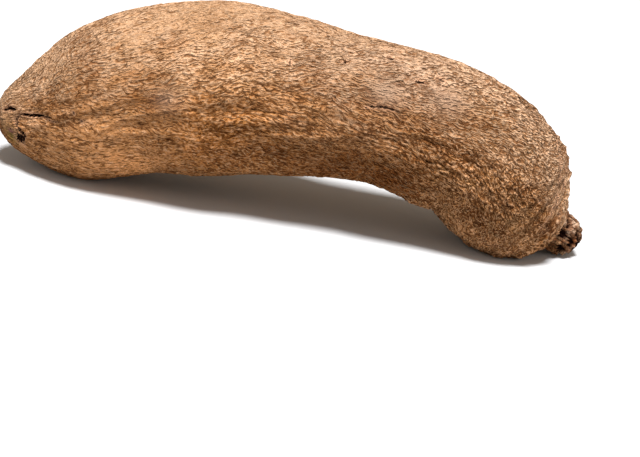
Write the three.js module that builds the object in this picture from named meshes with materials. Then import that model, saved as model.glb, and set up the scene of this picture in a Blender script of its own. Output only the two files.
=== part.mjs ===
// A whole white yam tuber, lying on its belly and on the underside of its crown end.
// Millimetres, +Z up. The origin is the middle of the footprint, on the surface that the tuber lies on.
// +X runs from the tail tip to the crown, where the vine grew, and +Y is the far side.
import * as THREE from "three";
import { mergeVertices } from "three/addons/utils/BufferGeometryUtils.js";

// Spine of the tuber, from the tail tip to the broken top of the crown, evenly spaced along its length.
const spineStations = [
  [-53.6, -9, 25.1],
  [-8.8, -5, 38.3],
  [35, -2, 59.1],
  [83.1, 0, 68.3],
  [132.1, 0, 71.4],
  [180.9, 0, 70.8],
  [232.3, 1, 60.3],
  [267.7, 6, 29.9],
  [308.3, 18, 8.4],
];
const spineLength = 388;

// Girth, before the ends close in: distance along the spine, then radius.
const girthStations = [
  [0, 33.6],
  [50, 50.2],
  [92, 50.1],
  [136, 53.2],
  [180, 48],
  [222, 43],
  [292, 43.2],
  [328, 43.5],
  [388, 43.7],
];
const tailCapLength = 115.5;
const shoulderEnd = 365;
const shoulderCapLength = 60;
const capPower = 2.25;

// The corky crown: a knob that stands out of the shoulder, with a hollow where the vine broke off.
const knobStart = 353;
const knobEnd = 388;
const knobRadius = 13.3;
const knobPower = 2.8;
const hollowRadius = 8;
const hollowDepth = 3;
// The shoulder's skin turns into the knob's cork over this length.
const corkLength = 5;

// Cross-section: how much wider it is than high, and how far it leaves a circle, as shares of the radius.
const sidewaysShare = 1.03;
const twoLobeShare = 0.012;
const threeLobeShare = 0.016;

// Relief layers: wavelength along the spine, wavelength round it and height.
const swell = { along: 80, round: 58, height: 2.2 };
const dent = { along: 36, round: 26, height: 1.4 };
const ridge = { along: 46, round: 12.5, height: 2.6 };
const coarserFrom = 150;
const coarserTo = 300;
const coarserShare = 0.4;
// A sharp-crested layer stands this far out of the smooth form at its crests, as a share of its height.
const crestLevel = 0.25;
// Towards the tail tip the relief is lower.
const tailFrom = 60;
const tailTo = 6;
const tailShare = 0.5;
const knobLump = { along: 10, round: 8.5, height: 5 };

// Single swellings and hollows of the tuber: distance along the spine, angle from the far side turning
// upwards, height and width.
const swellings = [
  [39, 90, 0.8, 18],
  [110, 91, -1.3, 28],
  [165, 85, 1.7, 16],
  [286, 95, -3.2, 22],
  [307, 100, 1.1, 10],
  [338, 108, 1.7, 16],
  [172, 238, 2.2, 24],
  [238, 237, -2.6, 14],
  [276, 243, 4.2, 16],
];

// Places that the tuber rests on, where the relief is worn down: distance along the spine, then angle.
const restPlaces = [
  [45, 270],
  [346, 268],
];
const restWidth = 38;

// Rings of folded skin that gather round the foot of the crown.
const foldStart = 305;
const foldEnd = 350;
const foldSpacing = 9.5;
const foldHeight = 0.7;

// Root stubs: distance along the spine, angle from the far side turning upwards, height. All are equally wide.
const rootStubs = [
  [344, 114, 2.2],
  [321, 100, 0.8],
  [281, 86, 1.6],
  [334, 40, 2],
  [298, 20, 1.6],
  [352, 300, 1.8],
  [306, 335, 1.8],
  [262, 60, 1.3],
  [318, 205, 1.2],
];
const stubWidth = 3.4;

// Marks of the tail tip: a split in the skin, the crease under it and the hollow of an old scar.
const tailSplit = [
  [4, 132],
  [14, 147.5],
  [26, 159.5],
  [44, 170.5],
];
const splitWidth = 3;
const splitDepth = 2.4;
const tailCrease = [
  [19, 158],
  [18, 175],
  [20, 190],
];
const creaseWidth = 2.2;
const creaseDepth = 1.2;
const scarPlace = [14, 199];
const scarWidth = 5;
const scarDepth = 2.6;

// Mesh: rings on the body, the knob and its hollow, and segments round them.
const bodyRings = 54;
const endCrowding = 0.6;
const knobRings = 8;
const hollowRings = 3;
const segments = 90;
const kneeGap = 2.5;

// Lattice hash, which gives the noise its fixed random gradients.
const hashSteps = [127.1, 311.7, 74.7];
const hashShift = 19.19;
const hashGain = 43758.5453;
const noiseGain = 1.5;

function latticeHash(i, j, k, axis) {
  const wave = Math.sin(i * hashSteps[0] + j * hashSteps[1] + k * hashSteps[2] + axis * hashShift) * hashGain;
  return 2 * (wave - Math.floor(wave)) - 1;
}

// Gradient noise, about -1 to 1.
function noise(x, y, z) {
  const base = [Math.floor(x), Math.floor(y), Math.floor(z)];
  const part = [x - base[0], y - base[1], z - base[2]];
  const ease = part.map((f) => f * f * f * (f * (f * 6 - 15) + 10));
  let sum = 0;
  for (let corner = 0; corner < 8; corner++) {
    const step = [corner & 1, (corner >> 1) & 1, corner >> 2];
    let weight = 1;
    let slope = 0;
    for (let axis = 0; axis < 3; axis++) {
      const hash = latticeHash(base[0] + step[0], base[1] + step[1], base[2] + step[2], axis);
      weight *= step[axis] ? ease[axis] : 1 - ease[axis];
      slope += hash * (part[axis] - step[axis]);
    }
    sum += weight * slope;
  }
  return sum * noiseGain;
}

// Noise of one relief layer at a point of the straightened tuber.
function layerNoise(layer, point) {
  return noise(point.x / layer.along, point.y / layer.round, point.z / layer.round);
}

// Sharp crests of one relief layer, over rounded troughs.
function layerCrests(layer, point) {
  return layer.height * (crestLevel - Math.abs(layerNoise(layer, point)));
}

function smoothStep(low, high, value) {
  const share = THREE.MathUtils.clamp((value - low) / (high - low), 0, 1);
  return share * share * (3 - 2 * share);
}

function bell(distance, width) {
  return Math.exp(-((distance / width) ** 2));
}

// Point of the spine at a share of its length: a Catmull-Rom curve through the evenly spaced stations.
function spinePoint(share) {
  const last = spineStations.length - 1;
  const place = THREE.MathUtils.clamp(share * last, 0, last - 1e-6);
  const index = Math.floor(place);
  const f = place - index;
  const before = spineStations[Math.max(0, index - 1)];
  const after = spineStations[Math.min(last, index + 2)];
  const next = spineStations[index + 1];
  const numbers = spineStations[index].map((here, axis) => {
    const slopeHere = (next[axis] - before[axis]) / 2;
    const slopeNext = (after[axis] - here) / 2;
    const cubic = 2 * here - 2 * next[axis] + slopeHere + slopeNext;
    const square = 3 * next[axis] - 3 * here - 2 * slopeHere - slopeNext;
    return ((cubic * f + square) * f + slopeHere) * f + here;
  });
  return new THREE.Vector3(...numbers);
}

// Girth between its stations, eased so that it has no corners.
function girth(along) {
  const next = Math.max(1, girthStations.findIndex(([place]) => place >= along));
  const [low, before] = girthStations[next - 1];
  const [high, after] = girthStations[next];
  return THREE.MathUtils.lerp(before, after, smoothStep(low, high, along));
}

function roundedCap(distance, length) {
  const left = 1 - THREE.MathUtils.clamp(distance / length, 0, 1);
  return (1 - left ** capPower) ** (1 / capPower);
}

function bodyRadius(along) {
  return girth(along) * roundedCap(along, tailCapLength) * roundedCap(shoulderEnd - along, shoulderCapLength);
}

function knobRadiusAt(along) {
  const share = THREE.MathUtils.clamp((along - knobStart) / (knobEnd - knobStart), 0, 1);
  return knobRadius * (1 - share ** knobPower) ** (1 / knobPower);
}

// Half outline of the straightened tuber, from the tail tip to the hollow: radius and distance along the spine.
function outline() {
  const points = [];
  const knee = shoulderEnd - kneeGap;
  for (let ring = 0; ring <= bodyRings; ring++) {
    const even = ring / bodyRings;
    const crowded = (1 - Math.cos(Math.PI * even)) / 2;
    const along = knee * THREE.MathUtils.lerp(even, crowded, endCrowding);
    points.push(new THREE.Vector2(bodyRadius(along), along));
  }
  for (let ring = 1; ring <= knobRings; ring++) {
    const along = THREE.MathUtils.lerp(knee, knobEnd, Math.sin((Math.PI / 2) * (ring / knobRings)));
    points.push(new THREE.Vector2(Math.max(knobRadiusAt(along), hollowRadius), along));
  }
  for (let ring = 1; ring <= hollowRings; ring++) {
    const share = ring / hollowRings;
    points.push(new THREE.Vector2(hollowRadius * (1 - share), knobEnd - hollowDepth * smoothStep(0, 1, share)));
  }
  return points;
}

// Outward direction of the half outline at one of its points: away from the spine, then along it.
function outlineNormal(points, index) {
  if (index === 0) return new THREE.Vector2(0, -1);
  if (index === points.length - 1) return new THREE.Vector2(0, 1);
  const run = points[index + 1].clone().sub(points[index - 1]);
  return new THREE.Vector2(run.y, -run.x).normalize();
}

// Share of the radius that the cross-section has at an angle. Its lobes wind slowly along the tuber.
function sectionShare(along, angle) {
  const winding = (along / spineLength) * Math.PI;
  return 1 + twoLobeShare * Math.cos(2 * angle + winding) + threeLobeShare * Math.cos(3 * angle - 2 * winding);
}

// Point of the straightened tuber on its smooth form: x along the spine, y to the far side, z up.
function straightPoint(radius, along, angle) {
  const shaped = radius * sectionShare(along, angle);
  return new THREE.Vector3(along, shaped * Math.cos(angle) * sidewaysShare, shaped * Math.sin(angle));
}

function markPoint([along, degrees]) {
  return straightPoint(bodyRadius(along), along, THREE.MathUtils.degToRad(degrees));
}

function pathDistance(path, point) {
  const nearest = new THREE.Vector3();
  const distances = path.slice(1).map((end, index) => {
    new THREE.Line3(path[index], end).closestPointToPoint(point, true, nearest);
    return nearest.distanceTo(point);
  });
  return Math.min(...distances);
}

const swellingMarks = swellings.map(([along, degrees, height, width]) => ({
  point: markPoint([along, degrees]),
  height,
  width,
}));
const restPoints = restPlaces.map(markPoint);
const stubMarks = rootStubs.map(([along, degrees, height]) => ({ point: markPoint([along, degrees]), height }));
const splitPath = tailSplit.map(markPoint);
const creasePath = tailCrease.map(markPoint);
const scarPoint = markPoint(scarPlace);

function skinRelief(point) {
  const level = 1 - tailShare * smoothStep(tailFrom, tailTo, point.x);
  const coarser = 1 + coarserShare * smoothStep(coarserFrom, coarserTo, point.x);
  const folded = smoothStep(foldStart, foldEnd, point.x);
  const worn = restPoints.reduce((sum, rest) => sum + bell(rest.distanceTo(point), restWidth), 0);
  const broad = swellingMarks.reduce(
    (sum, mark) => sum + mark.height * bell(mark.point.distanceTo(point), mark.width),
    0,
  );
  const bark =
    swell.height * layerNoise(swell, point) +
    dent.height * layerNoise(dent, point) +
    layerCrests(ridge, point) * coarser * (1 - folded);
  const folds = foldHeight * folded * Math.cos((2 * Math.PI * (point.x - foldStart)) / foldSpacing);
  const stubs = stubMarks.reduce((sum, stub) => sum + stub.height * bell(stub.point.distanceTo(point), stubWidth), 0);
  const marks =
    splitDepth * bell(pathDistance(splitPath, point), splitWidth) +
    creaseDepth * bell(pathDistance(creasePath, point), creaseWidth) +
    scarDepth * bell(scarPoint.distanceTo(point), scarWidth);
  return bark * level * (1 - worn) + broad + folds + stubs - marks;
}

// Height of the skin over the smooth form, at a point of the straightened tuber.
function relief(point) {
  const onKnob = smoothStep(shoulderEnd - corkLength, shoulderEnd, point.x);
  return skinRelief(point) * (1 - onKnob) + layerCrests(knobLump, point) * onKnob;
}

// Bends a point of the straightened tuber round the spine.
function bend(point) {
  const step = 0.002;
  const share = point.x / spineLength;
  const low = THREE.MathUtils.clamp(share - step, 0, 1 - 2 * step);
  const forward = spinePoint(low + 2 * step).sub(spinePoint(low)).normalize();
  const far = new THREE.Vector3(0, 0, 1).cross(forward).normalize();
  const over = new THREE.Vector3().crossVectors(forward, far);
  return spinePoint(share).addScaledVector(far, point.y).addScaledVector(over, point.z);
}

// Skin point at a ring of the half outline and an angle. What would sink below the surface that the tuber
// lies on is pressed flat: that leaves the two flat spots that it rests on.
function skinPoint(points, ring, angle) {
  const straight = straightPoint(points[ring].x, points[ring].y, angle);
  const outward = outlineNormal(points, ring);
  const height = relief(straight);
  straight.x += height * outward.y;
  straight.y += height * outward.x * Math.cos(angle);
  straight.z += height * outward.x * Math.sin(angle);
  const bent = bend(straight);
  bent.z = Math.max(0, bent.z);
  return bent;
}

function tuberGeometry() {
  const points = outline();
  const geometry = new THREE.LatheGeometry(points, segments);
  const position = geometry.getAttribute("position");
  for (let vertex = 0; vertex < position.count; vertex++) {
    const ring = vertex % points.length;
    const segment = Math.floor(vertex / points.length) % segments;
    position.setXYZ(vertex, ...skinPoint(points, ring, (2 * Math.PI * segment) / segments));
  }
  geometry.deleteAttribute("normal");
  geometry.deleteAttribute("uv");
  const closed = mergeVertices(geometry, 1e-4);
  closed.computeBoundingBox();
  const middle = closed.boundingBox.getCenter(new THREE.Vector3());
  return closed.translate(-middle.x, -middle.y, 0);
}

const skinMaterial = new THREE.MeshStandardMaterial({ color: 0x9c7249, roughness: 0.9, metalness: 0 });

const yam = new THREE.Group();
const tuber = new THREE.Mesh(tuberGeometry(), skinMaterial);
tuber.name = "yam_tuber";
yam.add(tuber);

export default yam;
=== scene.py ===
"""A whole white yam tuber on a pale studio floor: its skin, crown and tail, the light and the camera."""
import math

import bpy
import numpy as np
from mathutils import Matrix, Vector


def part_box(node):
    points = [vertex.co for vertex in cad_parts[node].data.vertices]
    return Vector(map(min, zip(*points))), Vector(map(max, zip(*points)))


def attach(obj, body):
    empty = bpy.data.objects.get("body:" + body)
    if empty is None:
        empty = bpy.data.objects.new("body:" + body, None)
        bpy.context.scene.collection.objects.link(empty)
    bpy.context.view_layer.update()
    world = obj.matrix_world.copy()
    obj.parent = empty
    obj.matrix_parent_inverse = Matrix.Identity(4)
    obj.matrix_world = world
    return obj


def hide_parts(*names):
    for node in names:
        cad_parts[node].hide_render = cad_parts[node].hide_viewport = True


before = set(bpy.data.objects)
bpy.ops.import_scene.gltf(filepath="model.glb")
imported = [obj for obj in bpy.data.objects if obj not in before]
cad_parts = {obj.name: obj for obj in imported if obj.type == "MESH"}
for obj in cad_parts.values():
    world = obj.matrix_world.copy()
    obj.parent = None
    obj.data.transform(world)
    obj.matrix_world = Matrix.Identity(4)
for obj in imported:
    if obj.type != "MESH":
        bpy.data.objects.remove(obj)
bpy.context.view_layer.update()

# The form is worked out in millimetres, as the solid's source does, and made in metres.
MM = 0.001
NODE = "yam_tuber"
PIECE = "yam_skin"

# Spine of the tuber, from the tail tip to the broken top of the crown, evenly spaced along its length.
SPINE_STATIONS = np.array([
    (-53.6, -9, 25.1),
    (-8.8, -5, 38.3),
    (35, -2, 59.1),
    (83.1, 0, 68.3),
    (132.1, 0, 71.4),
    (180.9, 0, 70.8),
    (232.3, 1, 60.3),
    (267.7, 6, 29.9),
    (308.3, 18, 8.4),
])
SPINE_LENGTH = 388
# The spine's last point stays this far off the last station, as a share of the way between two, and its
# direction is taken over this share of its length either way.
SPINE_TIP = 1e-6
SPINE_STEP = 0.002

# Girth, before the ends close in: distance along the spine, then radius.
GIRTH_STATIONS = [
    (0, 33.6),
    (50, 50.2),
    (92, 50.1),
    (136, 53.2),
    (180, 48),
    (222, 43),
    (292, 43.2),
    (328, 43.5),
    (388, 43.7),
]
TAIL_CAP_LENGTH = 115.5
SHOULDER_END = 365
SHOULDER_CAP_LENGTH = 60
CAP_POWER = 2.25

# The corky crown: a knob that stands out of the shoulder, with a hollow where the vine broke off.
KNOB_START = 353
KNOB_END = 388
KNOB_RADIUS = 13.3
KNOB_POWER = 2.8
HOLLOW_RADIUS = 8
HOLLOW_DEPTH = 3
# The shoulder's skin turns into the knob's cork over this length, and the outline leaves the shoulder for
# the knob this far before the shoulder's end.
CORK_LENGTH = 5
KNEE_GAP = 2.5

# Cross-section: how much wider it is than high, and how far it leaves a circle, as shares of the radius.
SIDEWAYS_SHARE = 1.03
TWO_LOBE_SHARE = 0.012
THREE_LOBE_SHARE = 0.016

# Relief that the solid has too: wavelength along the spine, wavelength round it and height.
SWELL = (80, 58, 2.2)
DENT = (36, 26, 1.4)
RIDGE = (46, 12.5, 2.6)
# The ridges are higher towards the crown: from where, to where and by what share.
COARSER_FROM, COARSER_TO, COARSER_SHARE = 150, 300, 0.4
# A sharp-crested layer stands this far out of the smooth form at its crests, as a share of its height.
CREST_LEVEL = 0.25
# Towards the tail tip the relief is lower.
TAIL_FROM, TAIL_TO, TAIL_SHARE = 60, 6, 0.5
KNOB_LUMP = (10, 8.5, 5)

# Single swellings and hollows: distance along the spine, degrees from the far side upwards, height, width.
SWELLINGS = [
    (39, 90, 0.8, 18),
    (110, 91, -1.3, 28),
    (165, 85, 1.7, 16),
    (286, 95, -3.2, 22),
    (307, 100, 1.1, 10),
    (338, 108, 1.7, 16),
    (172, 238, 2.2, 24),
    (238, 237, -2.6, 14),
    (276, 243, 4.2, 16),
]

# Places that the tuber rests on, where the relief is worn down: distance along the spine, then degrees.
REST_PLACES = [(45, 270), (346, 268)]
REST_WIDTH = 38

# Rings of folded skin that gather round the foot of the crown.
FOLD_START, FOLD_END = 305, 350
FOLD_SPACING = 9.5
FOLD_HEIGHT = 0.7

# Root stubs: distance along the spine, degrees from the far side upwards, height. All are equally wide.
ROOT_STUBS = [
    (344, 114, 2.2),
    (321, 100, 0.8),
    (281, 86, 1.6),
    (334, 40, 2),
    (298, 20, 1.6),
    (352, 300, 1.8),
    (306, 335, 1.8),
    (262, 60, 1.3),
    (318, 205, 1.2),
]
STUB_WIDTH = 3.4

# Cracks, pits and creases: distance along the spine and degrees of each point, then half-width and depth.
TAIL_CRACKS = [
    ([(9.5, 149), (12.6, 147.5), (15.5, 150), (18.5, 155)], 1.2, 3),
    ([(21, 160), (27, 163.5), (33, 165), (38, 168)], 0.9, 2.8),
    ([(36, 168), (39, 171), (44, 173)], 0.5, 1.2),
    ([(21.5, 161), (18, 168), (18, 179), (21, 188)], 0.9, 1.3),
    ([(18, 180), (22, 191), (20, 203), (16, 211)], 0.9, 2),
    ([(16, 204), (20, 196)], 3.8, 2),
]
CROWN_PITS = [
    ([(336.5, 155), (337.5, 158)], 0.8, 1.4),
    ([(329.5, 159), (330, 161)], 0.7, 1.2),
    ([(349.5, 153), (351, 158)], 0.7, 1.4),
    ([(345, 150), (347, 153)], 0.6, 1.2),
]
BODY_PITS = [
    ([(224, 163), (231, 159.5), (236, 158.5), (243, 159)], 0.8, 1.7),
    ([(208, 129.5), (211, 128)], 1.1, 1.8),
    ([(230, 115), (234, 113.5)], 1.1, 1.8),
    ([(247, 129.5), (252, 127.5)], 1.3, 1.8),
    ([(256, 119.5), (262, 122)], 0.8, 1.5),
    ([(178.5, 137), (180, 143)], 0.8, 1.5),
    ([(55, 166), (57, 169)], 1, 1.6),
    ([(58, 174), (61, 178)], 0.8, 1.4),
]
CROWN_CREASES = [
    ([(311, 106), (324, 126), (335, 137), (341.5, 145), (343.5, 157), (343.5, 180)], 0.9, 1),
    ([(325, 115), (335, 122), (342, 130), (349, 147)], 0.9, 1),
]
CRACKS = TAIL_CRACKS + CROWN_PITS + BODY_PITS + CROWN_CREASES
# Half-widths up to which a crack is looked at, the share of its width at its ends, and the depth from which
# its inside is fully painted dark, as shade that grows with depth.
CRACK_REACH = 5
CRACK_TIP = 0.4
SHADE_DEPTH = 2

# Old scar under the tip, the bruise in it and the tip's own nub: distance along the spine, degrees, height
# and width.
TAIL_SCAR = (14, 199, -1, 5.5)
TAIL_BRUISE = (13.5, 190, 1, 2.4)
TAIL_NUB = (11, 170, 2, 6)
# Scuffed places, which are calmer and greyer, and the reddish chip on the crown: distance along the spine,
# degrees, strength and width.
SCUFFS = [
    (234, 147, 1, 9),
    (265, 137, 1, 9),
    (112, 172, 0.7, 8),
]
CHIP = (379, 172, 1, 2.6)

# Bark, which the solid does not have. Its pattern wanders a little: length, width and reach, and how far
# apart the noises for the two directions are read.
WANDER = (42, 30, 4)
WANDER_SHIFT = 31.7
# The pattern converges towards the tail: its radius at the tip, its growth with the girth and its most.
PATTERN_RADIUS = 20
PATTERN_GROWTH = 0.5
PATTERN_LIMIT = 1.8
# How much shorter the wrinkles grow towards the crown: distance along the spine, share. At its foot the
# pattern's circle shrinks too, which turns them into rings.
SHORTENING = [(0, 1), (245, 1.1), (300, 1.7), (335, 2)]
RINGED_FROM, RINGED_TO, RINGED_SHARE = 322, 352, 0.6
# The wrinkles fan out from a line on the near side, in stretches that fade into each other: distance along
# the spine, degrees of the line above the middle of the near side and rate of the fan a millimetre.
FANS = [
    (60, 24, 0.016),
    (90, 45, 0.012),
    (120, -6, 0.006),
    (150, 0, 0.018),
    (175, 14, 0.009),
    (205, 28, 0.011),
    (235, 20, 0.012),
    (265, 30, 0.014),
    (330, 10, 0.014),
]
FAN_FROM, FAN_TO = 10, 330
# Length of a stretch, how far apart the patterns of even and odd stretches are read, and by what share of a
# stretch each kind is moved along.
STRETCH = 60
STRETCH_SHIFT = 400
STRETCH_PHASES = {"even": 0, "odd": 0.5}

# The pattern is pushed about over short lengths, so that the wrinkles wave: length and width of the waves,
# and their reach along, across and outwards.
WAVES = (8, 5)
WAVE_REACH = (1.8, 3.6, 3.6)
NOISE_MIDDLE = (0.5, 0.5, 0.5)
# Wrinkles and bumps that are in the mesh and in the material: length, width and height.
WRINKLES = (5, 1.3, 0.8)
BUMPS = (2.6, 1.9, 0.3)
# Finer wrinkles and pits, which only the material has.
FINE_WRINKLES = (4, 0.8, 1.05)
PITS = (1.8, 1.3, 0.6)
# Ripples run along the lines of equal level of a noise: length, width and height. Then the radians that
# their wave turns through while the noise grows by 1, and the noise's detail.
RIPPLES = (13, 3.6, 0.2)
RIPPLE_TURN = 16
RIPPLE_DETAIL = 1
# Net of thin grooves: length, width and depth, its slant each way in radians a millimetre, and the share of
# the noise that a groove takes. It is broken here and there, in patches as those of the colours below.
NET = (13, 2.5, 0.9)
NET_SLANT = 0.0055
NET_GROOVE = 0.11
NET_BREAKS = (9, 6, 1, 0.42, 0.62, 1)
# The bark grows bolder towards the crown: from where, to where and by what share.
BOLDER_FROM, BOLDER_TO, BOLDER_SHARE = 190, 300, 0.5
# Calmer and rougher areas: length, width and share, and places of them: distance along the spine, degrees,
# share and width.
CALM = (24, 13, 0.25)
ROUGH_PLACES = [
    (75, 215, -0.3, 45),
    (155, 176, 0.4, 40),
    (125, 130, -0.3, 32),
    (120, 100, -0.2, 40),
    (310, 160, 0.35, 45),
    (180, 95, -0.25, 45),
    (250, 95, -0.2, 45),
]
SCUFF_SHARE = 0.5

# Crags of the crown.
KNOB_CRAGS = (9, 3.4, 4)
KNOB_GRAIN = (3.4, 1.7, 1)

# Mesh: rings and segments round them, with the rings closer together towards both ends.
RINGS = 190
SEGMENTS = 518
OUTLINE_POINTS = 3000
CROWDING = 1.3
TAIL_REACH, CROWN_REACH = 45, 110
# Distance either way over which the outline's direction is taken.
NORMAL_REACH = 0.8

# Lattice hash, which gives the noise its fixed random gradients.
HASH_STEPS = (127.1, 311.7, 74.7)
HASH_SHIFT = 19.19
HASH_GAIN = 43758.5453
NOISE_GAIN = 1.5

# Lighter and darker places, the skin's own tones and in places painted shade, as low under the arch and
# where the crown meets the shoulder: distance along the spine, degrees, share lighter or darker, width.
TONES_AND_SHADE = [
    (25, 165, 0.3, 14),
    (45, 150, -0.1, 14),
    (56, 196, 0.15, 12),
    (62, 147, -0.25, 11),
    (66, 212, 0.12, 12),
    (70, 160, -0.1, 35),
    (74, 207, 0.5, 28),
    (80, 230, 0.4, 18),
    (85, 186, -0.12, 24),
    (93, 138, -0.14, 13),
    (106, 165, -0.2, 12),
    (109, 165, -0.18, 11),
    (118, 140, 0.3, 16),
    (125, 125, -0.12, 30),
    (125, 130, -0.15, 14),
    (128, 189, 0.22, 13),
    (128, 205, 0.15, 12),
    (137, 174, -0.22, 12),
    (138, 192, 0.2, 22),
    (148, 154, 0.2, 12),
    (155, 135, 0.08, 16),
    (170, 176, 0.12, 10),
    (179, 204, -0.35, 8),
    (182, 186, 0.18, 16),
    # Painted shade low under the arch.
    (211, 221, -0.46, 24),
    (216, 200, 0.3, 14),
    (222, 150, -0.1, 22),
    (222, 207, -0.3, 8),
    (228, 149, -0.2, 11),
    (234, 176, 0.25, 13),
    (235, 88, 0.1, 25),
    (245, 171, -0.25, 24),
    # Painted shade low under the arch.
    (250, 227, -0.55, 22),
    (280, 178, 0.12, 12),
    (281, 147, -0.25, 20),
    (290, 171, -0.08, 26),
    (292, 173, 0.12, 10),
    (292, 175, 0.18, 12),
    (302, 215, 0.15, 24),
    (335, 150, -0.1, 18),
    (345, 195, 0.3, 16),
    # Painted shade where the crown meets the shoulder.
    (370, 222, -0.6, 9),
]
# How much lighter the folds are than the troughs between them.
FOLD_SHADE = 0.18
# Powers of a tone in red, green and blue, so that dark tones are redder.
TONE_POWERS = (1, 1.35, 1.9)
# Towards the crown the skin is made lighter and paler: partly its own tint, partly painted light on that end.
TINT_FROM, TINT_TO = 210, 290
TINT = (1.15, 1.19, 1.27)
# Warmer and greyer places: distance along the spine, degrees, strength and width. Then what one of them
# does to red, green and blue.
WARMTHS = [
    (145, 200, 1.6, 30),
    (75, 160, -0.4, 38),
    (235, 155, -1, 38),
    (290, 185, 0.5, 35),
]
WARMER = (1, 0.92, 0.78)

# Colours of the skin and of its crests and cracks: lit copies for the top and shaded copies for below, as
# painted light and shade.
LIT_SKIN = (0.715, 0.433, 0.256, 1)
SHADED_SKIN = (0.49, 0.226, 0.088, 1)
LIT_CREST = (0.79, 0.52, 0.33, 1)
SHADED_CREST = (0.7, 0.418, 0.238, 1)
LIT_CRACK = (0.19, 0.055, 0.009, 1)
SHADED_CRACK = (0.065, 0.012, 0.001, 1)
# How far up the skin has to look to take the lit colours, and how a noise mottles that: length, width and
# detail.
LIT_SHARE_LEVELS = (0.05, 0.75)
MOTTLE = (26, 12, 4)
MOTTLE_LEVELS = (0.3, 0.7, -0.25, 0.25)
# Nearer to the spine than this, the way up counts for less and less.
AXIS_RADIUS = 1
# Patches of colour: length, width and detail of their noise, the levels between which they begin, strength,
# and the colour where they have one of their own.
STAINS = [
    (40, 24, 4, 0.48, 0.66, 0.38, (0.21, 0.075, 0.02, 1)),
    (22, 13, 4, 0.58, 0.7, 0.22, (0.38, 0.2, 0.12, 1)),
    (9, 6, 3, 0.52, 0.66, 0.15, (0.38, 0.21, 0.08, 1)),
    (5, 4, 2, 0.55, 0.7, 0.1, (0.34, 0.14, 0.05, 1)),
]
PALE_FLECKS = (3.2, 2.2, 1, 0.6, 0.74, 0.3)
PALE_BLOTCHES = (10, 5.5, 3, 0.54, 0.68, 0.12)
# Share of the mesh's bark in the height that sets the colours. Then from which height in millimetres to
# which each colour comes in, and how strong it is on each side.
COARSE_SHARE = 0.4
# Pale crests are partly a painted highlight; dark troughs are partly painted shade.
PALE_LIT_CRESTS = (0.05, 0.6, 0, 0.5)
DARK_SHADED_TROUGHS = (-0.05, -0.65, 0, 0.66)
# Painted shade: the deepest troughs are made redder, as light bounced in them would be.
DEEP_SHADED_TROUGHS = (0.2, -0.5)
DEEP_SHADE_TINT = (1, 0.965, 0.87, 1)
# Marks: name, strength and colour.
MARKS = [
    ("scuff", 0.55, (0.42, 0.29, 0.21, 1)),
    ("nub", 0.5, (0.55, 0.33, 0.18, 1)),
    ("scar", 0.85, (0.3, 0.23, 0.06, 1)),
    ("bruise", 0.85, (0.3, 0.11, 0.12, 1)),
]
# Cracks are ragged, by a noise of this length, width and detail. Their pale lips and their dark insides come
# in between these half-widths. The insides are painted shade as well as darker skin.
RAGGED = (1.8, 1.4, 2)
LIP = (0.78, 0.43, 0.25, 1)
LIP_LEVELS = (2.8, 1.4, 0, 0.6)
CRACK_LEVELS = (1.3, 0.6)
# Cork of the crown: its colours, its patches, and the heights of its pale crests and of its hollows. The
# hollows and the insides of cracks are painted near black, as shade as well as dark cork.
CORK = (0.32, 0.155, 0.08, 1)
CORK_PALE = (0.64, 0.41, 0.26, 1)
CRACK_AND_HOLLOW_SHADE = (0.016, 0.004, 0.002, 1)
CORK_RED = (0.5, 0.17, 0.06, 1)
PALE_PATCHES = (3.4, 3, 3, 0.48, 0.66, 1)
RED_PATCHES = (7, 6, 2, 0.6, 0.68, 0.6)
CORK_CRESTS = (1, 2.2, 0, 0.7)
SHADED_CORK_HOLLOWS = (-0.9, 0.6, 1, 0)
# Grain of the whole skin, in its relief and in its roughness.
GRAIN = (1.4, 0.9, 0.5)
GRAIN_DETAIL = 2
ROUGHNESS_LEVELS = (-0.2, 0.2, 0.8, 0.95)
# How many times its height all relief has in the bump, and how many times more the mesh's bark has there.
BUMP_GAIN = 1.8
COARSE_GAIN = 1.2
SKIN_GLOSS = 0.03

FLOOR_COLOUR = (0.61, 0.62, 0.635, 1)
FLOOR_ROUGHNESS = 0.9
FLOOR_GLOSS = 0.1
FLOOR_REACH = 6

# Studio light: name, direction that it comes from, its spread in degrees and its strength.
LIGHTS = [
    ("key", (0.02, -0.3, 1), 14, 5.7),
    ("right", (1, -0.35, 0.45), 50, 0.45),
    ("left", (-1, -0.45, 0.5), 50, 0.5),
]
SKY_COLOUR = (1, 0.82, 0.64, 1)
SKY_STRENGTH = 0.29

# Camera: what it looks at, how far it is, how high it looks from and how far it is rolled.
CAMERA_TARGET = Vector((22.3, 0.3, -8.4)) * MM
CAMERA_DISTANCE = 1.1
CAMERA_ELEVATION = math.radians(20)
CAMERA_ROLL = math.radians(11)
CAMERA_LENS = 100


def lattice_hash(i, j, k, axis):
    """Fixed random number from -1 to 1 for a corner of the lattice and an axis."""
    steps = i * HASH_STEPS[0] + j * HASH_STEPS[1] + k * HASH_STEPS[2]
    wave = np.sin(steps + axis * HASH_SHIFT) * HASH_GAIN
    return 2 * (wave - np.floor(wave)) - 1


def noise(points):
    """Gradient noise at rows of points, about -1 to 1."""
    base = np.floor(points)
    part = points - base
    ease = part**3 * (part * (part * 6 - 15) + 10)
    total = np.zeros(len(points))
    for corner in range(8):
        step = np.array([corner & 1, (corner >> 1) & 1, corner >> 2])
        weight = np.where(step, ease, 1 - ease).prod(axis=1)
        i, j, k = (base + step).T
        slope = sum(lattice_hash(i, j, k, axis) * (part[:, axis] - step[axis]) for axis in range(3))
        total += weight * slope
    return total * NOISE_GAIN


def layer_noise(layer, points):
    """Noise at a layer's wavelengths."""
    along, across, _ = layer
    return noise(points / (along, across, across))


def crests(layer, points):
    """Sharp crests over rounded troughs, at the layer's height."""
    return layer[2] * (CREST_LEVEL - np.abs(layer_noise(layer, points)))


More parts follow.
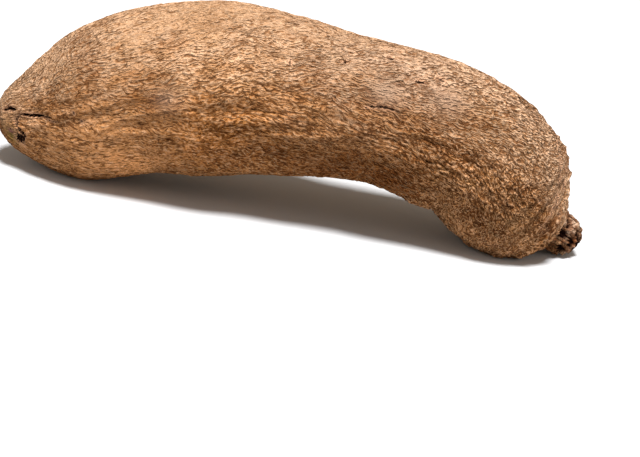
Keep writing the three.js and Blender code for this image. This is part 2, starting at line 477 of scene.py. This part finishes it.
def smooth_step(low, high, value):
    share = np.clip((value - low) / (high - low), 0, 1)
    return share * share * (3 - 2 * share)


def bell(distance, width):
    return np.exp(-((distance / width) ** 2))


def spine_point(share):
    """Points of the spine at shares of its length: a Catmull-Rom curve through its evenly spaced stations."""
    last = len(SPINE_STATIONS) - 1
    place = np.clip(share * last, 0, last - SPINE_TIP)
    index = np.floor(place).astype(int)
    part = (place - index)[:, None]
    here, following = SPINE_STATIONS[index], SPINE_STATIONS[index + 1]
    before = SPINE_STATIONS[np.maximum(0, index - 1)]
    after = SPINE_STATIONS[np.minimum(last, index + 2)]
    slope_here = (following - before) / 2
    slope_next = (after - here) / 2
    cubic = 2 * here - 2 * following + slope_here + slope_next
    square = 3 * following - 3 * here - 2 * slope_here - slope_next
    return ((cubic * part + square) * part + slope_here) * part + here


def girth(along):
    """Girth between its stations, eased so that it has no corners."""
    result = np.full_like(along, GIRTH_STATIONS[0][1])
    for (low, before), (high, after) in zip(GIRTH_STATIONS, GIRTH_STATIONS[1:]):
        within = along > low
        result[within] = before + (after - before) * smooth_step(low, high, along[within])
    return result


def rounded_cap(distance, length):
    """Share of the full radius at a distance from a rounded end of that length."""
    left = 1 - np.clip(distance / length, 0, 1)
    return (1 - left**CAP_POWER) ** (1 / CAP_POWER)


def body_radius(along):
    shoulder = rounded_cap(SHOULDER_END - along, SHOULDER_CAP_LENGTH)
    return girth(along) * rounded_cap(along, TAIL_CAP_LENGTH) * shoulder


def knob_radius(along):
    share = np.clip((along - KNOB_START) / (KNOB_END - KNOB_START), 0, 1)
    return KNOB_RADIUS * (1 - share**KNOB_POWER) ** (1 / KNOB_POWER)


def outline():
    """Rings of the straightened tuber, from the tail tip to the hollow: radius, distance along it, and the
    outward direction there, away from the spine and along it."""
    knee = SHOULDER_END - KNEE_GAP
    share = np.linspace(0, 1, OUTLINE_POINTS)
    body_along = knee * (1 - np.cos(np.pi * share)) / 2
    knob_along = knee + (KNOB_END - knee) * np.sin(np.pi / 2 * share[1:])
    hollow_along = KNOB_END - HOLLOW_DEPTH * smooth_step(0, 1, share[1:])
    knob = np.maximum(knob_radius(knob_along), HOLLOW_RADIUS)
    radii = np.concatenate([body_radius(body_along), knob, HOLLOW_RADIUS * (1 - share[1:])])
    line = np.stack([radii, np.concatenate([body_along, knob_along, hollow_along])])
    travelled = np.concatenate([[0], np.cumsum(np.hypot(*np.diff(line)))])
    end = travelled[-1]
    weight = 1 + CROWDING * (bell(travelled, TAIL_REACH) + bell(end - travelled, CROWN_REACH))
    count = np.cumsum(weight * np.gradient(travelled))
    ring = np.interp(np.linspace(count[0], count[-1], RINGS), count, travelled)
    ring[0], ring[-1] = 0, end

    def line_at(distance):
        return np.stack([np.interp(distance, travelled, values) for values in line])

    radius, along = line_at(ring)
    rise, run = line_at(ring + NORMAL_REACH) - line_at(ring - NORMAL_REACH)
    # Both tips face along the spine.
    rise[0], rise[-1] = 1, -1
    run[0] = run[-1] = 0
    size = np.hypot(rise, run)
    return radius, along, run / size, -rise / size


def section_share(along, angle):
    """Share of the radius that the section has at an angle. Its lobes wind slowly along the tuber."""
    winding = along / SPINE_LENGTH * np.pi
    two, three = np.cos(2 * angle + winding), np.cos(3 * angle - 2 * winding)
    return 1 + TWO_LOBE_SHARE * two + THREE_LOBE_SHARE * three


def straight_points(radius, along, angle):
    """Points of the straightened tuber on its smooth form: along the spine, to the far side, up."""
    shaped = radius * section_share(along, angle)
    return np.stack([along, shaped * np.cos(angle) * SIDEWAYS_SHARE, shaped * np.sin(angle)], axis=1)


def mark_points(places):
    """Points of the smooth form at rows that begin with distance along the spine and degrees round it."""
    along, degrees = np.array([place[:2] for place in places], float).T
    radius = np.where(along > SHOULDER_END, knob_radius(along), body_radius(along))
    return straight_points(radius, along, np.radians(degrees))


def distance_to(mark, points):
    return np.linalg.norm(points - mark, axis=1)


def distance_to_path(path, points):
    """Distance of each point from a path, and the share of the path's length at which it is nearest."""
    lengths = np.linalg.norm(np.diff(path, axis=0), axis=1)
    nearest, place = np.full(len(points), np.inf), np.zeros(len(points))
    for start, end, length, before in zip(path, path[1:], lengths, np.cumsum(lengths) - lengths):
        share = np.clip((points - start) @ (end - start) / length**2, 0, 1)
        distance = np.linalg.norm(points - start - share[:, None] * (end - start), axis=1)
        closer = distance < nearest
        nearest[closer] = distance[closer]
        place[closer] = (before + share[closer] * length) / lengths.sum()
    return nearest, place


def bells(places, points, width=None):
    """Sum of bells over marked places, whose rows hold a height and then a width unless one is given."""
    total = np.zeros(len(points))
    for mark, place in zip(mark_points(places), places):
        total += place[2] * bell(distance_to(mark, points), width or place[3])
    return total


def on_knob(points):
    """1 on the crown's cork and 0 on the body."""
    return smooth_step(SHOULDER_END - CORK_LENGTH, SHOULDER_END, points[:, 0])


def scuffed(points):
    return np.minimum(bells(SCUFFS, points), 1)


def folds(along):
    """Wave of the folded skin, from -1 to 1."""
    wave = np.cos(2 * np.pi * (along - FOLD_START) / FOLD_SPACING)
    return smooth_step(FOLD_START, FOLD_END, along) * wave


def form_relief(points):
    """Height of the body's skin over the smooth form, as the solid has it."""
    along = points[:, 0]
    coarser = 1 + COARSER_SHARE * smooth_step(COARSER_FROM, COARSER_TO, along)
    folded = smooth_step(FOLD_START, FOLD_END, along)
    worn = sum(bell(distance_to(mark, points), REST_WIDTH) for mark in mark_points(REST_PLACES))
    swells = SWELL[2] * layer_noise(SWELL, points) + DENT[2] * layer_noise(DENT, points)
    swells += crests(RIDGE, points) * coarser * (1 - folded)
    swells *= (1 - TAIL_SHARE * smooth_step(TAIL_FROM, TAIL_TO, along)) * (1 - worn)
    single = bells(SWELLINGS, points) + bells(ROOT_STUBS, points, STUB_WIDTH)
    return swells + single + FOLD_HEIGHT * folds(along)


def crown_lumps(points):
    """Height of the crown's cork over the smooth form, as the solid has it."""
    return crests(KNOB_LUMP, points)


def crown_crags(points):
    """Height of the crown's cork in full: the solid's lumps, with rounded crags and grain on them."""
    return crown_lumps(points) - crests(KNOB_CRAGS, points) - crests(KNOB_GRAIN, points)


def boldness(points):
    """How much higher the bark is than its layers say."""
    bolder = 1 + BOLDER_SHARE * smooth_step(BOLDER_FROM, BOLDER_TO, points[:, 0])
    rougher = (1 + bells(ROUGH_PLACES, points)) * (1 + CALM[2] * layer_noise(CALM, points))
    return bolder * rougher * (1 - SCUFF_SHARE * scuffed(points))


def cracks(points):
    """Half-widths between each point and its nearest crack, how dark that one's inside is painted as shade,
    which grows with its depth, and how deep the skin is cracked there."""
    nearest = np.full(len(points), float(CRACK_REACH))
    inside_shade = np.zeros(len(points))
    depth = np.zeros(len(points))
    for path, width, deep in CRACKS:
        distance, share = distance_to_path(mark_points(path), points)
        away = distance / (width * (CRACK_TIP + (1 - CRACK_TIP) * np.sin(np.pi * share)))
        inside_shade[away < nearest] = min(1, deep / SHADE_DEPTH)
        nearest = np.minimum(nearest, away)
        depth = np.maximum(depth, deep * bell(away, 1))
    return nearest, inside_shade, depth


def upwardness(points):
    """How far each point looks up from the spine, from -1 to 1."""
    radius = np.hypot(points[:, 1], points[:, 2])
    return points[:, 2] / np.maximum(radius, AXIS_RADIUS)


def tones_and_shade(points):
    """Shares of red, green and blue that the skin is painted with: its own tones, painted shade in places,
    and painted light towards the crown besides its tone there.
    """
    total = 1 + FOLD_SHADE * folds(points[:, 0])
    for mark, place in zip(mark_points(TONES_AND_SHADE), TONES_AND_SHADE):
        total *= 1 + place[2] * bell(distance_to(mark, points), place[3])
    # Painted light, partly: lighter and paler towards the crown.
    tinted = smooth_step(TINT_FROM, TINT_TO, points[:, 0])[:, None]
    tint = 1 + tinted * (np.array(TINT) - 1)
    warmth = np.array(WARMER) ** bells(WARMTHS, points)[:, None]
    darker = np.minimum(total, 1)[:, None] ** TONE_POWERS
    return tint * warmth * darker * np.maximum(total, 1)[:, None]


def pattern_length(along):
    """How far along the bark's pattern a distance along the spine is."""
    steps = np.arange(SPINE_LENGTH + 1)
    shortening = np.interp(steps, *zip(*SHORTENING))
    return np.interp(along, steps, np.cumsum(shortening))


def pattern_circle(along, radius):
    """Radius of the circle that the pattern lies round. It hardly tapers towards the tail."""
    circle = np.minimum(PATTERN_RADIUS + PATTERN_GROWTH * radius, PATTERN_LIMIT * radius)
    return circle * (1 - RINGED_SHARE * smooth_step(RINGED_FROM, RINGED_TO, along))


def fanned(from_middle, along, middle):
    """Angles from the middle of the near side, drawn in by the fan of the stretch that has that middle."""
    places, degrees, rates = zip(*FANS)
    from_line = from_middle - np.radians(np.interp(middle, places, degrees))
    travel = np.clip(along, FAN_FROM, FAN_TO) - np.clip(middle, FAN_FROM, FAN_TO)
    narrowed = np.sin(from_line) * np.exp(-np.interp(middle, places, rates) * travel)
    return np.arctan2(narrowed, np.cos(from_line))


def pattern_points(points, phase):
    """Places at which the bark's pattern is read for one kind of stretch, and how much it counts there."""
    along = points[:, 0]
    radius = np.hypot(points[:, 1], points[:, 2])
    middle = (np.floor(along / STRETCH - phase + 0.5) + phase) * STRETCH
    length, across, reach = WANDER
    scaled = points / (length, across, across)
    wander_along, wander_round = (reach * noise(scaled + WANDER_SHIFT * turn) for turn in (1, 2))
    from_middle = np.arctan2(points[:, 2], -points[:, 1])
    turned = fanned(from_middle + wander_round / np.maximum(radius, PATTERN_RADIUS), along, middle)
    circle = pattern_circle(along, radius)
    ahead = pattern_length(along) + wander_along + STRETCH_SHIFT * phase
    places = np.stack([ahead, -circle * np.cos(turned), circle * np.sin(turned)], axis=1)
    weight = (1 + np.cos(2 * np.pi * (along - middle) / STRETCH)) / 2
    return places, weight / np.hypot(weight, 1 - weight)


class Graph:
    """Nodes of one tree. Each call adds a node and returns the socket that it gives."""

    # Sockets of the mixing node that carry colours.
    MIX_FIRST, MIX_SECOND, MIX_RESULT = 6, 7, 2

    def __init__(self, tree):
        self.tree = tree

    def node(self, kind, output, inputs, **settings):
        made = self.tree.nodes.new(kind)
        for name, value in settings.items():
            setattr(made, name, value)
        for key, value in inputs.items():
            if isinstance(value, bpy.types.NodeSocket):
                self.tree.links.new(value, made.inputs[key])
            else:
                made.inputs[key].default_value = value
        return made.outputs[output]

    def attribute(self, name, output="Fac"):
        return self.node("ShaderNodeAttribute", output, {}, attribute_name=name)

    def math(self, operation, a, b=0.0):
        return self.node("ShaderNodeMath", 0, {0: a, 1: b}, operation=operation)

    def vector(self, operation, a, b):
        return self.node("ShaderNodeVectorMath", 0, {0: a, 1: b}, operation=operation)

    def noise(self, place, along, across, detail, output="Fac", signed=False):
        read = self.vector("MULTIPLY", place, (1 / along, 1 / across, 1 / across))
        inputs = {"Vector": read, "Scale": 1.0, "Detail": detail}
        return self.node("ShaderNodeTexNoise", output, inputs, normalize=not signed)

    def steps(self, value, low, high, to_low=0.0, to_high=1.0):
        inputs = {"Value": value, "From Min": low, "From Max": high, "To Min": to_low, "To Max": to_high}
        return self.node("ShaderNodeMapRange", 0, inputs, interpolation_type="SMOOTHSTEP")

    def patches(self, place, length, width, detail, low, high, most):
        return self.steps(self.noise(place, length, width, detail), low, high, 0, most)

    def mix(self, factor, a, b, blend_type="MIX"):
        inputs = {0: factor, self.MIX_FIRST: a, self.MIX_SECOND: b}
        return self.node("ShaderNodeMix", self.MIX_RESULT, inputs, data_type="RGBA", blend_type=blend_type)


def rolling(graph, place, layer, detail=0):
    """Plain noise, in millimetres."""
    length, width, rise = layer
    return graph.math("MULTIPLY", graph.noise(place, length, width, detail, signed=True), rise)


def waved(graph, place):
    """Places of the pattern, pushed about."""
    push = graph.vector("SUBTRACT", graph.noise(place, *WAVES, 0, "Color"), NOISE_MIDDLE)
    return graph.vector("ADD", place, graph.vector("MULTIPLY", push, WAVE_REACH))


def coarse_bark(graph, place):
    """Height of the bark that the mesh has too, in millimetres."""
    return graph.math("ADD", rolling(graph, waved(graph, place), WRINKLES), rolling(graph, place, BUMPS))


def net(graph, place):
    """Share of the net's grooves at a place: all of it where either of two slanted noises is nothing."""
    length, width, _ = NET
    along = graph.node("ShaderNodeSeparateXYZ", "X", {"Vector": place})
    levels = []
    for slant in (NET_SLANT, -NET_SLANT):
        inputs = {"Vector": place, "Angle": graph.math("MULTIPLY", along, slant)}
        slanted = graph.node("ShaderNodeVectorRotate", 0, inputs, rotation_type="X_AXIS")
        levels.append(graph.math("ABSOLUTE", graph.noise(slanted, length, width, 0, signed=True)))
    groove = graph.steps(graph.math("MINIMUM", *levels), 0, NET_GROOVE, 1, 0)
    return graph.math("MULTIPLY", groove, graph.patches(place, *NET_BREAKS))


def fine_bark(graph, place):
    """Height of the bark that is too fine for the mesh, in millimetres."""
    moved = waved(graph, place)
    length, width, rise = RIPPLES
    level = graph.noise(moved, length, width, RIPPLE_DETAIL, signed=True)
    ripples = graph.math("MULTIPLY", graph.math("SINE", graph.math("MULTIPLY", level, RIPPLE_TURN)), rise)
    grooves = graph.math("MULTIPLY", net(graph, moved), NET[2])
    wrinkles = graph.math("ADD", rolling(graph, moved, FINE_WRINKLES), rolling(graph, place, PITS))
    return graph.math("SUBTRACT", graph.math("ADD", ripples, wrinkles), grooves)


def both_stretches(graph, make):
    """What the patterns of the even and of the odd stretches come to together, each by its share."""
    halves = []
    for name in STRETCH_PHASES:
        height = make(graph, graph.attribute(name, "Vector"))
        halves.append(graph.math("MULTIPLY", height, graph.attribute(name + "_share")))
    return graph.math("ADD", *halves)


def bark_relief(points):
    """Height of the coarse bark at rows of pattern points, read from the nodes that the material uses too."""
    tree = bpy.data.node_groups.new("sample", "GeometryNodeTree")
    for direction in ("INPUT", "OUTPUT"):
        tree.interface.new_socket("Geometry", in_out=direction, socket_type="NodeSocketGeometry")
    graph = Graph(tree)
    height = coarse_bark(graph, graph.node("GeometryNodeInputPosition", 0, {}))
    inputs = {"Geometry": graph.node("NodeGroupInput", 0, {}), "Name": "height", "Value": height}
    stored = graph.node("GeometryNodeStoreNamedAttribute", 0, inputs)
    tree.links.new(stored, tree.nodes.new("NodeGroupOutput").inputs[0])
    mesh = bpy.data.meshes.new("sample")
    mesh.from_pydata(points.tolist(), [], [])
    sample = bpy.data.objects.new("sample", mesh)
    bpy.context.scene.collection.objects.link(sample)
    sample.modifiers.new("sample", "NODES").node_group = tree
    read = sample.evaluated_get(bpy.context.evaluated_depsgraph_get()).data
    heights = np.empty(len(points), np.float32)
    read.attributes["height"].data.foreach_get("value", heights)
    bpy.data.objects.remove(sample)
    bpy.data.meshes.remove(mesh)
    bpy.data.node_groups.remove(tree)
    return heights.astype(float)


def bend(points):
    """Bends points of the straightened tuber round the spine."""
    share = points[:, 0] / SPINE_LENGTH
    low = np.clip(share - SPINE_STEP, 0, 1 - 2 * SPINE_STEP)
    forward = spine_point(low + 2 * SPINE_STEP) - spine_point(low)
    forward /= np.linalg.norm(forward, axis=1)[:, None]
    far = np.cross((0, 0, 1), forward)
    far /= np.linalg.norm(far, axis=1)[:, None]
    over = np.cross(forward, far)
    return spine_point(share) + far * points[:, 1:2] + over * points[:, 2:3]


def skin_grid():
    """Straight points of the smooth form, ring by ring, and the outward direction at each."""
    radii, places, away, onward = (np.repeat(values, SEGMENTS) for values in outline())
    angle = np.tile(2 * np.pi * np.arange(SEGMENTS) / SEGMENTS, RINGS)
    outward = np.stack([onward, away * np.cos(angle), away * np.sin(angle)], axis=1)
    return straight_points(radii, places, angle), outward


def raised(straight, outward, body_height, crown_height):
    """Bent points of the skin, raised by these heights and never under the floor."""
    knob = on_knob(straight)
    height = body_height * (1 - knob) + crown_height * knob
    points = bend(straight + outward * height[:, None])
    points[:, 2] = np.maximum(points[:, 2], 0)
    return points


def frame_shift(solid):
    """From the form's own place to the frame: the solid's box is centred there."""
    middle = (solid.min(axis=0) + solid.max(axis=0)) / 2
    low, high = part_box(NODE)
    target = (np.array(low) + np.array(high)) / 2 / MM
    return np.array([target[0] - middle[0], target[1] - middle[1], 0])


def face_corners():
    """Corners of each face of the closed grid, as segment and ring. Its end rings are one point each."""
    last = RINGS - 1
    faces = [((s + 0.5, 0), (s + 1, 1), (s, 1)) for s in range(SEGMENTS)]
    for ring in range(1, last - 1):
        faces += [((s, ring), (s + 1, ring), (s + 1, ring + 1), (s, ring + 1)) for s in range(SEGMENTS)]
    faces += [((s + 0.5, last), (s, last - 1), (s + 1, last - 1)) for s in range(SEGMENTS)]
    return faces


def corner_vertex(segment, ring):
    """Number of the vertex at a corner."""
    if ring == 0:
        return 0
    if ring == RINGS - 1:
        return 1 + (RINGS - 2) * SEGMENTS
    return 1 + (ring - 1) * SEGMENTS + segment % SEGMENTS


def single_tips(values):
    """Leaves one copy each of the points of the grid's end rings."""
    return np.concatenate([values[:1], values[SEGMENTS:-SEGMENTS], values[-1:]])


def add_attribute(mesh, name, values):
    kind, field = ("FLOAT_VECTOR", "vector") if values.ndim == 2 else ("FLOAT", "value")
    attribute = mesh.attributes.new(name, kind, "POINT")
    attribute.data.foreach_set(field, values.astype(np.float32).ravel())


def add_bake_map(mesh, faces):
    """Unwraps the grid as a sheet, for the baked textures: round the tuber, then along it."""
    corners = np.array([corner for face in faces for corner in face])
    sheet = corners / (SEGMENTS, RINGS - 1)
    layer = mesh.uv_layers.new(name="OFBake")
    layer.data.foreach_set("uv", sheet.astype(np.float32).ravel())


def skin_points():
    """Points of the skin in the frame, in millimetres, and the values that the material reads at each."""
    straight, outward = skin_grid()
    patterns = {name: pattern_points(straight, phase) for name, phase in STRETCH_PHASES.items()}
    bold = boldness(straight)
    crack, crack_shade, crack_depth = cracks(straight)
    crags = crown_crags(straight)
    form = form_relief(straight)
    bark = sum(bark_relief(places) * share for places, share in patterns.values()) * bold
    marks = bells([TAIL_SCAR, TAIL_NUB], straight) - crack_depth
    solid = raised(straight, outward, form, crown_lumps(straight))
    points = raised(straight, outward, form + bark + marks, crags) + frame_shift(solid)

    values = {}
    for name, (places, share) in patterns.items():
        values |= {name: places, name + "_share": share}
    values |= {
        "straight": straight,
        "upward": upwardness(straight),
        "bold": bold,
        "crown": on_knob(straight),
        "crag": crags,
        "crack": crack,
        "crack_shade": crack_shade,
        "scar": bells([TAIL_SCAR], straight) / TAIL_SCAR[2],
        "bruise": bells([TAIL_BRUISE], straight),
        "nub": bells([TAIL_NUB], straight) / TAIL_NUB[2],
        "scuff": scuffed(straight),
        "chip": bells([CHIP], straight),
        "tone_and_shade": tones_and_shade(straight),
    }
    return points, values


def make_skin():
    """The skin as one mesh, with what the material reads of it as attributes."""
    points, values = skin_points()
    faces = face_corners()
    numbered = [[corner_vertex(*corner) for corner in face] for face in faces]
    mesh = bpy.data.meshes.new(PIECE)
    mesh.from_pydata((single_tips(points) * MM).tolist(), [], numbered)
    mesh.polygons.foreach_set("use_smooth", [True] * len(faces))
    for name, value in values.items():
        add_attribute(mesh, name, single_tips(value))
    add_bake_map(mesh, faces)
    mesh.update()
    skin = bpy.data.objects.new(PIECE, mesh)
    bpy.context.scene.collection.objects.link(skin)
    return skin


def bark_colour(graph, place, height, bold):
    """Colour of the bark: stained skin, painted lit on top and shaded below, pale where it is high and
    dark in its troughs, partly as painted highlight and shade.
    """
    # Painted light and shade: the colour goes from a shaded copy below to a lit copy on top.
    mottle = graph.steps(graph.noise(place, *MOTTLE), *MOTTLE_LEVELS)
    lit_share = graph.steps(graph.math("ADD", graph.attribute("upward"), mottle), *LIT_SHARE_LEVELS)
    colour = graph.mix(lit_share, SHADED_SKIN, LIT_SKIN)
    for *patches, tint in STAINS:
        colour = graph.mix(graph.math("MULTIPLY", graph.patches(place, *patches), bold), colour, tint)
    tone_and_shade = graph.attribute("tone_and_shade", "Vector")
    colour = graph.vector("MULTIPLY", colour, tone_and_shade)

    shade = graph.node("ShaderNodeSeparateXYZ", "X", {"Vector": tone_and_shade})
    pale = graph.vector("MULTIPLY", graph.mix(lit_share, SHADED_CREST, LIT_CREST), shade)
    # Painted highlight, partly: the crests are paler.
    colour = graph.mix(graph.steps(height, *PALE_LIT_CRESTS), colour, pale)
    colour = graph.mix(graph.patches(place, *PALE_FLECKS), colour, pale)
    blotches = graph.math("MULTIPLY", graph.patches(place, *PALE_BLOTCHES), bold)
    colour = graph.mix(blotches, colour, pale)
    dark = graph.mix(lit_share, SHADED_CRACK, LIT_CRACK)
    # Painted shade, partly: the troughs are darker, and the deepest redder.
    colour = graph.mix(graph.steps(height, *DARK_SHADED_TROUGHS), colour, dark)
    return graph.mix(graph.steps(height, *DEEP_SHADED_TROUGHS), colour, DEEP_SHADE_TINT, "MULTIPLY")


def marked_colour(graph, place, colour):
    """The bark's colour with its scuffs, the nub, the scar and the bruise, and then the ragged cracks, whose
    insides are painted dark as shade.
    """
    for name, most, tint in MARKS:
        colour = graph.mix(graph.math("MULTIPLY", graph.attribute(name), most), colour, tint)
    ragged = graph.math("ADD", graph.attribute("crack"), graph.noise(place, *RAGGED, signed=True))
    colour = graph.mix(graph.steps(ragged, *LIP_LEVELS), colour, LIP)
    # Painted shade inside the cracks, darker where they are deeper.
    inside = graph.steps(ragged, *CRACK_LEVELS)
    inside_shade = graph.math("MULTIPLY", inside, graph.attribute("crack_shade"))
    return graph.mix(inside_shade, colour, CRACK_AND_HOLLOW_SHADE)


def cork_colour(graph, place):
    """Colour of the crown's cork: patches, pale crests, the reddish chip and hollows painted dark as shade.
    """
    crag = graph.attribute("crag")
    colour = graph.mix(graph.patches(place, *PALE_PATCHES), CORK, CORK_PALE)
    colour = graph.mix(graph.patches(place, *RED_PATCHES), colour, CORK_RED)
    colour = graph.mix(graph.steps(crag, *CORK_CRESTS), colour, CORK_PALE)
    colour = graph.mix(graph.attribute("chip"), colour, CORK_RED)
    # Painted shade in the cork's hollows.
    colour = graph.mix(graph.steps(crag, *SHADED_CORK_HOLLOWS), colour, CRACK_AND_HOLLOW_SHADE)
    return graph.vector("MULTIPLY", colour, graph.attribute("tone_and_shade", "Vector"))


def shader_graph(name):
    """A new material, the graph of its nodes and its shader."""
    material = bpy.data.materials.new(name)
    material.use_nodes = True
    return material, Graph(material.node_tree), material.node_tree.nodes["Principled BSDF"]


def skin_material():
    material, graph, shader = shader_graph(PIECE)
    place = graph.attribute("straight", "Vector")
    bold = graph.attribute("bold")
    coarse = graph.math("MULTIPLY", both_stretches(graph, coarse_bark), bold)
    fine = graph.math("MULTIPLY", both_stretches(graph, fine_bark), bold)
    height = graph.math("ADD", graph.math("MULTIPLY", coarse, COARSE_SHARE), fine)
    bark = marked_colour(graph, place, bark_colour(graph, place, height, bold))
    colour = graph.mix(graph.attribute("crown"), bark, cork_colour(graph, place))

    grain = rolling(graph, place, GRAIN, GRAIN_DETAIL)
    relief = graph.math("ADD", graph.math("ADD", fine, grain), graph.math("MULTIPLY", coarse, COARSE_GAIN))
    bump = {"Height": relief, "Strength": 1.0, "Distance": BUMP_GAIN * MM}
    normal = graph.node("ShaderNodeBump", "Normal", bump)
    rough = graph.steps(grain, *ROUGHNESS_LEVELS)
    for name, socket in (("Base Color", colour), ("Normal", normal), ("Roughness", rough)):
        graph.tree.links.new(socket, shader.inputs[name])
    shader.inputs["Specular IOR Level"].default_value = SKIN_GLOSS
    return material


def make_floor():
    mesh = bpy.data.meshes.new("floor")
    corners = [(FLOOR_REACH * x, FLOOR_REACH * y, 0) for x, y in ((-1, -1), (1, -1), (1, 1), (-1, 1))]
    mesh.from_pydata(corners, [], [(0, 1, 2, 3)])
    floor = bpy.data.objects.new("floor", mesh)
    bpy.context.scene.collection.objects.link(floor)
    material, _, shader = shader_graph("floor")
    shader.inputs["Base Color"].default_value = FLOOR_COLOUR
    shader.inputs["Roughness"].default_value = FLOOR_ROUGHNESS
    shader.inputs["Specular IOR Level"].default_value = FLOOR_GLOSS
    mesh.materials.append(material)


def make_lights():
    for name, direction, spread, strength in LIGHTS:
        light = bpy.data.lights.new(name, "SUN")
        light.angle = math.radians(spread)
        light.energy = strength
        lamp = bpy.data.objects.new(name, light)
        lamp.rotation_mode = "QUATERNION"
        lamp.rotation_quaternion = Vector(direction).to_track_quat("Z", "Y")
        bpy.context.scene.collection.objects.link(lamp)
    world = bpy.data.worlds.new("studio")
    world.use_nodes = True
    background = world.node_tree.nodes["Background"]
    background.inputs["Color"].default_value = SKY_COLOUR
    background.inputs["Strength"].default_value = SKY_STRENGTH
    bpy.context.scene.world = world


def make_camera():
    forward = Vector((0, math.cos(CAMERA_ELEVATION), -math.sin(CAMERA_ELEVATION)))
    level = Vector((1, 0, 0))
    above = level.cross(forward)
    right = level * math.cos(CAMERA_ROLL) + above * math.sin(CAMERA_ROLL)
    up = above * math.cos(CAMERA_ROLL) - level * math.sin(CAMERA_ROLL)
    data = bpy.data.cameras.new("camera")
    data.lens = CAMERA_LENS
    camera = bpy.data.objects.new("camera", data)
    turn = Matrix((right, up, -forward)).transposed().to_4x4()
    camera.matrix_world = Matrix.Translation(CAMERA_TARGET - forward * CAMERA_DISTANCE) @ turn
    bpy.context.scene.collection.objects.link(camera)
    bpy.context.scene.camera = camera


skin = make_skin()
skin.data.materials.append(skin_material())
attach(skin, "root")
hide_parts(NODE)
make_floor()
make_lights()
make_camera()

view_settings = bpy.context.scene.view_settings
view_settings.view_transform = "Standard"
view_settings.look = "None"
